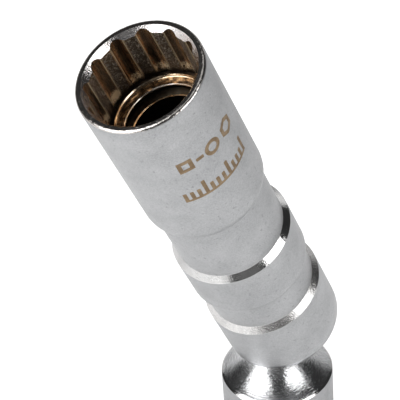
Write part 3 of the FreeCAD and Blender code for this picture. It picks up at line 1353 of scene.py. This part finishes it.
@dataclass
class DriveEnd:
    """The drive end: ball, stem, polished cove, satin cylinder and square hole."""

    pose: Pose
    radius: float = 9.25
    chamfer: float = 0.37
    foot_chamfer: float = 0.3
    shoulder: float = 14.08
    cove: float = 8.5
    stem: float = 3.5
    ball: float = 7.0
    wall_rings: tuple[float, float] = (6.0, 14.0)
    foot_rings: tuple[float, float] = (7.6, 0.5)
    square: float = 9.6
    square_depth: float = 12.5
    square_round: float = 0.5
    square_bevel: float = 0.6
    square_cone: float = 1.6
    dimple: float = 1.9
    dimple_reach: float = 0.8
    dimple_height: float = 5.0
    pin_hole: float = 1.53
    pin_hole_length: float = 16.0
    steps: int = 288

    def section(self) -> list[Ring]:
        """The half section.

        Returns:
            The rings from the foot's outer edge up to the top of the ball.
        """
        height = self.pose.ball_height
        rim = self.radius - self.chamfer
        middle = self.stem + self.cove
        drop = math.sqrt(self.cove ** 2 - (middle - rim) ** 2)
        top = height - self.shoulder
        rim_angle = math.degrees(math.atan2(-drop, rim - middle))
        joint = math.degrees(math.acos(self.stem / self.ball))
        line = Outline().to(self.radius - self.foot_chamfer, 0.0)
        line.to(self.radius, self.foot_chamfer, 0.12)
        for ring in self.wall_rings:
            line.to(self.radius, ring)
        line.to(self.radius, top - self.chamfer, 0.06)
        line.sweep((middle, top + drop), self.cove, rim_angle, -180.0, 30)
        line.to(self.stem, height - self.ball * math.sin(math.radians(joint)), 0.25)
        line.sweep((0.0, height), self.ball, -joint + 4.0, 88.0, 36)
        line.to(0.0, height + self.ball)
        return line.rings()

    def square_cutter(self) -> Object:
        """The cutter of the square hole, with a bevelled mouth, made from a cube.

        Returns:
            The cutter.
        """
        half, bevel = self.square / 2, self.square_bevel
        Bench.clear()
        place = (0.0, 0.0, (bevel + self.square_depth) / 2 * MM)
        bpy.ops.mesh.primitive_cube_add(size=1.0, location=place)
        cutter = bpy.context.object
        cutter.scale = (self.square * MM, self.square * MM, (self.square_depth - bevel) * MM)
        bpy.ops.object.transform_apply(location=True, rotation=True, scale=True)
        bpy.ops.object.mode_set(mode="EDIT")
        Bench.select(cutter, lambda at: min(abs(at.x), abs(at.y)) > half - 0.1, "EDGE")
        bpy.ops.mesh.bevel(offset=self.square_round * MM, segments=6, affect="EDGES")
        Bench.select(cutter, lambda at: at.z < bevel + 0.01, "FACE")
        bpy.ops.mesh.extrude_region_move(TRANSFORM_OT_translate={"value": (0.0, 0.0, -bevel * MM)})
        wide = (half + bevel) / half
        bpy.ops.transform.resize(value=(wide, wide, 1.0), center_override=(0.0, 0.0, 0.0))
        bpy.ops.mesh.extrude_region_move(TRANSFORM_OT_translate={"value": (0.0, 0.0, -1.0 * MM)})
        Bench.select(cutter, lambda at: at.z > self.square_depth - 0.01, "FACE")
        cone = (0.0, 0.0, self.square_cone * MM)
        bpy.ops.mesh.extrude_region_move(TRANSFORM_OT_translate={"value": cone})
        centre = (0.0, 0.0, (self.square_depth + self.square_cone) * MM)
        bpy.ops.transform.resize(value=(0.1, 0.1, 1.0), center_override=centre)
        bpy.ops.object.mode_set(mode="OBJECT")
        return cutter

    def dimple_cutter(self, turn: float) -> Object:
        """The ball cutter of one detent dimple.

        Args:
            turn: The wall's direction, in degrees.

        Returns:
            The cutter.
        """
        reach = self.square / 2 + self.dimple_reach - self.dimple
        angle = math.radians(turn)
        across, along = reach * math.cos(angle) * MM, reach * math.sin(angle) * MM
        place = (across, along, self.dimple_height * MM)
        Bench.clear()
        bpy.ops.mesh.primitive_uv_sphere_add(
            segments=48, ring_count=24, radius=self.dimple * MM, location=place
        )
        bpy.ops.object.transform_apply(location=True, rotation=True, scale=True)
        return bpy.context.object

    def pin_cutter(self) -> Object:
        """The cutter of the pin hole through the ball.

        Returns:
            The cutter.
        """
        Bench.clear()
        bpy.ops.mesh.primitive_cylinder_add(
            vertices=64, radius=self.pin_hole * MM, depth=self.pin_hole_length * MM
        )
        cutter = bpy.context.object
        cutter.matrix_world = self.pose.ball() @ Matrix.Rotation(math.pi / 2, 4, "Y")
        bpy.ops.object.transform_apply(location=True, rotation=True, scale=True)
        return cutter

    def build(self, chrome: Material, mirror: Material, buffed: Material) -> Object:
        """Makes the drive end in place of its solid.

        Args:
            chrome: The finish of the cylinder.
            mirror: The finish of the chamfer.
            buffed: The finish of the cove, the stem and the ball.

        Returns:
            The piece.
        """
        piece = Bench.turn("drive_body", self.section(), self.steps)
        Bench.pick(piece)
        bpy.ops.object.mode_set(mode="EDIT")
        foot = self.radius - self.foot_chamfer
        Bench.select_ring(piece, foot)
        Bench.pull_rings(foot, 0.0, [(ring, 0.0) for ring in (*self.foot_rings, 0.0)])
        bpy.ops.object.mode_set(mode="OBJECT")
        Bench.smooth(piece)
        Bench.carve(piece, self.square_cutter())
        for turn in (0.0, 90.0, 180.0, 270.0):
            Bench.carve(piece, self.dimple_cutter(turn))
        Bench.carve(piece, self.pin_cutter())
        Bench.smooth(piece)
        top = self.pose.ball_height - self.shoulder
        Bench.dress(piece, chrome, [
            (mirror, lambda r, z, n: z > top - self.chamfer - 0.03),
            (buffed, lambda r, z, n: z > top - 0.02),
        ])
        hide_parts("drive_end")
        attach(piece, Rider.DRIVE.value)
        return piece


@dataclass
class EtchedMarks:
    """Plain brown signs and a scale of ticks, etched round the side of the socket."""

    pose: Pose
    radius: float = 9.5
    lift: float = 0.006
    stroke: float = 0.66
    row: float = 10.45
    scale_foot: float = 17.9
    scale_start: float = -110.0
    scale_bar: float = 0.46
    ticks: int = 12
    pitch: float = 1.06
    tick_group: int = 4
    tick_heights: tuple[float, float] = (3.3, 2.0)
    corner: float = 0.22
    bend_step: float = 0.5

    def wrap(self, piece: Object, depth: float, side: float) -> None:
        """Bends a flat mark round the socket.

        Args:
            piece: The mark, flat about the origin, its Y towards the mouth.
            depth: The distance of its middle from the mouth.
            side: The direction of its middle round the socket, in degrees.
        """
        out = self.radius + self.lift
        for vertex in piece.data.vertices:
            flat = vertex.co / MM
            turn = math.radians(side) + flat.x / self.radius
            vertex.co = Vector((out * math.cos(turn), out * math.sin(turn), flat.y - depth)) * MM

    def bar(self, width: float, height: float) -> Object:
        """A flat bar with rounded corners, in steps short enough to bend.

        Args:
            width: Its size round the socket.
            height: Its size along the socket.

        Returns:
            The bar.
        """
        Bench.clear()
        bpy.ops.mesh.primitive_plane_add(size=1.0)
        piece = bpy.context.object
        piece.scale = (width * MM, height * MM, 1.0)
        bpy.ops.object.transform_apply(location=False, rotation=False, scale=True)
        bpy.ops.object.mode_set(mode="EDIT")
        bpy.ops.mesh.select_all(action="SELECT")
        reach = self.corner * min(width, height) * MM
        bpy.ops.mesh.bevel(offset=reach, segments=3, affect="VERTICES")
        bpy.ops.mesh.select_all(action="SELECT")
        cuts = math.ceil(width / self.bend_step)
        for step in range(1, cuts):
            across = (step / cuts - 0.5) * width * MM
            bpy.ops.mesh.bisect(plane_co=(across, 0.0, 0.0), plane_no=(1.0, 0.0, 0.0))
            bpy.ops.mesh.select_all(action="SELECT")
        bpy.ops.object.mode_set(mode="OBJECT")
        return piece

    def loop(self, corners: int, size: float, turn: float) -> Object:
        """A flat outline of a regular form.

        Args:
            corners: Its number of corners.
            size: Its radius at the corners, outside the stroke.
            turn: How far it is turned, in degrees.

        Returns:
            The outline.
        """
        Bench.clear()
        bpy.ops.mesh.primitive_circle_add(
            vertices=corners,
            radius=size * MM,
            fill_type="NGON",
            rotation=(0.0, 0.0, math.radians(turn)),
        )
        piece = bpy.context.object
        bpy.ops.object.transform_apply(location=False, rotation=True, scale=False)
        bpy.ops.object.mode_set(mode="EDIT")
        bpy.ops.mesh.select_all(action="SELECT")
        bpy.ops.mesh.inset(thickness=self.stroke * MM)
        bpy.ops.mesh.delete(type="FACE")
        bpy.ops.mesh.select_all(action="SELECT")
        if corners < 12:
            bpy.ops.mesh.subdivide(number_cuts=4)
        bpy.ops.object.mode_set(mode="OBJECT")
        return piece

    def build(self, oxide: Material) -> Object:
        """Makes all the marks as one piece.

        Args:
            oxide: The marks' finish.

        Returns:
            The piece.
        """
        marks = []
        for piece, side in (
            (self.loop(6, 1.66, 0.0), -116.5),
            (self.loop(40, 1.42, 0.0), -138.5),
            (self.bar(1.3, self.stroke), -153.0),
            (self.loop(4, 1.66, 45.0), -167.0),
        ):
            self.wrap(piece, self.row, side)
            marks.append(piece)
        span = (self.ticks - 1) * self.pitch
        middle = self.scale_start - math.degrees(span / 2 / self.radius)
        foot = self.bar(span + self.stroke, self.scale_bar)
        self.wrap(foot, self.scale_foot, middle)
        marks.append(foot)
        for index in range(self.ticks):
            height = self.tick_heights[0 if index % self.tick_group == 0 else 1]
            tick = self.bar(self.stroke * 0.9, height)
            side = self.scale_start - math.degrees(index * self.pitch / self.radius)
            self.wrap(tick, self.scale_foot + self.scale_bar / 2 - height / 2, side)
            marks.append(tick)
        Bench.clear()
        for mark in marks:
            mark.select_set(True)
        bpy.context.view_layer.objects.active = marks[0]
        bpy.ops.object.join()
        piece = marks[0]
        piece.name = "etched_marks"
        Bench.dress(piece, oxide, [])
        Bench.settle(piece, self.pose.mouth())
        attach(piece, Rider.SOCKET.value)
        return piece


@dataclass
class HiddenJoint:
    """The joint's inner pieces, which keep their solids and get finishes."""

    def dress(self) -> None:
        """Gives each inner piece its finish."""
        ground = DarkMetal((0.42, 0.42, 0.43), 0.28).make("ground_steel")
        sprung = DarkMetal((0.20, 0.20, 0.205), 0.38).make("oiled_spring_steel")
        for node, finish in (
            ("cross_pin", ground),
            ("spring_cap", ground),
            ("friction_spring", sprung),
            ("retaining_ring", sprung),
        ):
            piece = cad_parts[node]
            piece.data.materials.clear()
            piece.data.materials.append(finish)
            LOG.info("dressed %s", node)


@dataclass(frozen=True)
class Softbox:
    """A soft light, placed by its direction from the object as the camera sees it.

    Across and above are degrees to the right of the camera's own direction and over it. Width and
    height are the degrees that the light fills, its level is its brightness, and its distance is
    in metres.
    """

    name: str
    across: float
    above: float
    width: float
    height: float
    level: float
    distance: float = 0.55


@dataclass
class Studio:
    """The camera, the soft lights and the table, in metres."""

    target: tuple[float, float, float] = (-0.010, 0.0, 0.066)
    camera_place: tuple[float, float, float] = (-0.16609, -0.15737, 0.24748)
    right: tuple[float, float, float] = (0.68349, -0.72733, -0.06200)
    up: tuple[float, float, float] = (0.49219, 0.39647, 0.77496)
    back: tuple[float, float, float] = (-0.53907, -0.56019, 0.62897)
    lens: float = 171.51
    sensor: float = 36.0
    ambient: float = 0.03
    table: float = 1.5
    table_drop: float = 0.0002
    lights: list[Softbox] = field(default_factory=lambda: [
        Softbox("right_box", 42.0, 5.0, 38.0, 36.0, 3.2),
        Softbox("left_box", -48.0, 8.0, 44.0, 56.0, 3.4),
        Softbox("left_low", -52.0, -27.0, 46.0, 16.0, 1.0),
        Softbox("left_far", -96.0, -10.0, 34.0, 34.0, 0.45),
        Softbox("front_low", 0.0, -22.0, 44.0, 20.0, 0.14),
        Softbox("top_front", -12.0, 54.0, 50.0, 26.0, 0.65),
        Softbox("rear_left", -152.0, 35.0, 50.0, 50.0, 0.60),
        Softbox("rear_right", 145.0, 32.0, 46.0, 40.0, 0.40),
        Softbox("rear_top", 138.0, 56.0, 32.0, 14.0, 0.8),
    ])

    def direction(self, across: float, above: float) -> Vector:
        """The direction from the object at angles from the camera's own.

        Args:
            across: Degrees to the right.
            above: Degrees up.

        Returns:
            The direction, of length 1.
        """
        aside, up = math.radians(across), math.radians(above)
        part = Vector(self.right) * (math.sin(aside) * math.cos(up))
        part += Vector(self.up) * math.sin(up)
        return (part + Vector(self.back) * (math.cos(aside) * math.cos(up))).normalized()

    def add_camera(self) -> None:
        """Makes the camera at the photograph's place."""
        data = bpy.data.cameras.new("studio_camera")
        data.lens = self.lens
        data.sensor_width = self.sensor
        data.clip_start = 0.01
        data.clip_end = 20.0
        camera = bpy.data.objects.new("studio_camera", data)
        bpy.context.scene.collection.objects.link(camera)
        columns = (Vector(self.right), Vector(self.up), Vector(self.back))
        turn = Matrix(columns).transposed().to_4x4()
        camera.matrix_world = Matrix.Translation(self.camera_place) @ turn
        bpy.context.scene.camera = camera

    def add_light(self, box: Softbox) -> None:
        """Hangs one soft light.

        Args:
            box: The light.
        """
        aim = self.direction(box.across, box.above)
        data = bpy.data.lights.new(box.name, "AREA")
        data.shape = "RECTANGLE"
        data.size = 2 * box.distance * math.tan(math.radians(box.width / 2))
        data.size_y = 2 * box.distance * math.tan(math.radians(box.height / 2))
        data.energy = box.level * math.pi * data.size * data.size_y
        light = bpy.data.objects.new(box.name, data)
        light.visible_camera = False
        bpy.context.scene.collection.objects.link(light)
        light.rotation_euler = aim.to_track_quat("Z", "Y").to_euler()
        light.location = Vector(self.target) + aim * box.distance

    def add_table(self) -> None:
        """Makes the round pale floor, a hair below the foot."""
        Bench.clear()
        bpy.ops.mesh.primitive_circle_add(vertices=96, radius=self.table, fill_type="NGON")
        table = bpy.context.object
        table.name = "pale_table"
        table.location.z = -self.table_drop
        Bench.dress(table, PaleTable().make(), [])

    def add_world(self) -> None:
        """Makes the room's even light, white to the camera."""
        world = bpy.data.worlds.new("studio_room")
        bpy.context.scene.world = world
        world.use_nodes = True
        tree = world.node_tree
        tree.nodes.clear()
        path = tree.nodes.new("ShaderNodeLightPath")
        dim = tree.nodes.new("ShaderNodeBackground")
        dim.inputs[0].default_value = (self.ambient, self.ambient, self.ambient * 1.01, 1.0)
        white = tree.nodes.new("ShaderNodeBackground")
        mix = tree.nodes.new("ShaderNodeMixShader")
        out = tree.nodes.new("ShaderNodeOutputWorld")
        white.inputs[0].default_value = (1.0, 1.0, 1.0, 1.0)
        tree.links.new(path.outputs["Is Camera Ray"], mix.inputs[0])
        tree.links.new(dim.outputs[0], mix.inputs[1])
        tree.links.new(white.outputs[0], mix.inputs[2])
        tree.links.new(mix.outputs[0], out.inputs[0])

    def build(self) -> None:
        """Sets up the whole studio."""
        self.add_camera()
        self.add_world()
        self.add_table()
        for box in self.lights:
            self.add_light(box)
        view = bpy.context.scene.view_settings
        view.view_transform = "Standard"


def main() -> None:
    """Builds and dresses every piece, then the studio, and reports each."""
    logging.basicConfig(level=logging.INFO, format="%(name)s: %(message)s")
    pose = Pose()
    satin = BlastedChrome().make(pose)
    chamfer = PolishedChrome(
        colour=(0.74, 0.735, 0.73), roughness=0.12, bump=0.45, ripple=3000.0
    ).make("turned_chamfer")
    finishes = ShellFinishes(
        satin=BlastedChrome(buffing=0.27).make(pose, "buffed_satin"),
        rim=PolishedChrome(
            colour=(0.71, 0.67, 0.635), roughness=0.16, bump=0.80, ripple=1500.0, depth=0.00010
        ).make("bright_rim"),
        chamfer=chamfer,
        brushed=PolishedChrome(
            colour=(0.76, 0.75, 0.74), roughness=0.25, bump=0.75, ripple=3600.0, depth=0.00007
        ).make("brushed_chamfer"),
        lead_in=PolishedChrome(
            colour=(0.92, 0.88, 0.86), roughness=0.15, bump=0.85, ripple=3600.0, depth=0.00006
        ).make("flecked_lead_in"),
        flutes=BroachedNickel().make(pose, SocketShell.land),
        seat=WarmPlate(
            light=(0.95, 0.80, 0.60), dark=(0.55, 0.40, 0.26), roughness=0.16
        ).make("warm_seat"),
        # the deep bore, its drill point and the ball cup are a dark brown
        bore=DarkMetal((0.10, 0.075, 0.055), 0.40).make("dark_brown_bore"),
    )
    plate = WarmPlate(
        light=(0.46, 0.34, 0.23), dark=(0.055, 0.036, 0.024), roughness=0.20
    ).make("flecked_plate")
    bright = PolishedChrome(
        colour=(0.84, 0.78, 0.70), roughness=0.16, bump=0.15
    ).make("bright_bevel")
    black = DarkMetal((0.020, 0.018, 0.016), 0.50).make("black_magnet")
    buffed = PolishedChrome(
        colour=(0.72, 0.725, 0.735), roughness=0.20, bump=0.90, ripple=4000.0, depth=0.00007,
        turned=True,
    ).make("buffed_chrome")
    pieces = [
        SocketShell(pose).build(finishes),
        *MagnetStack(pose).build(plate, bright, black),
        DriveEnd(pose).build(satin, chamfer, buffed),
        EtchedMarks(pose).build(EtchedOxide().make()),
    ]
    HiddenJoint().dress()
    Studio().build()
    for piece in pieces:
        LOG.info("made %s with %d faces", piece.name, len(piece.data.polygons))


if __name__ == "__main__":
    main()
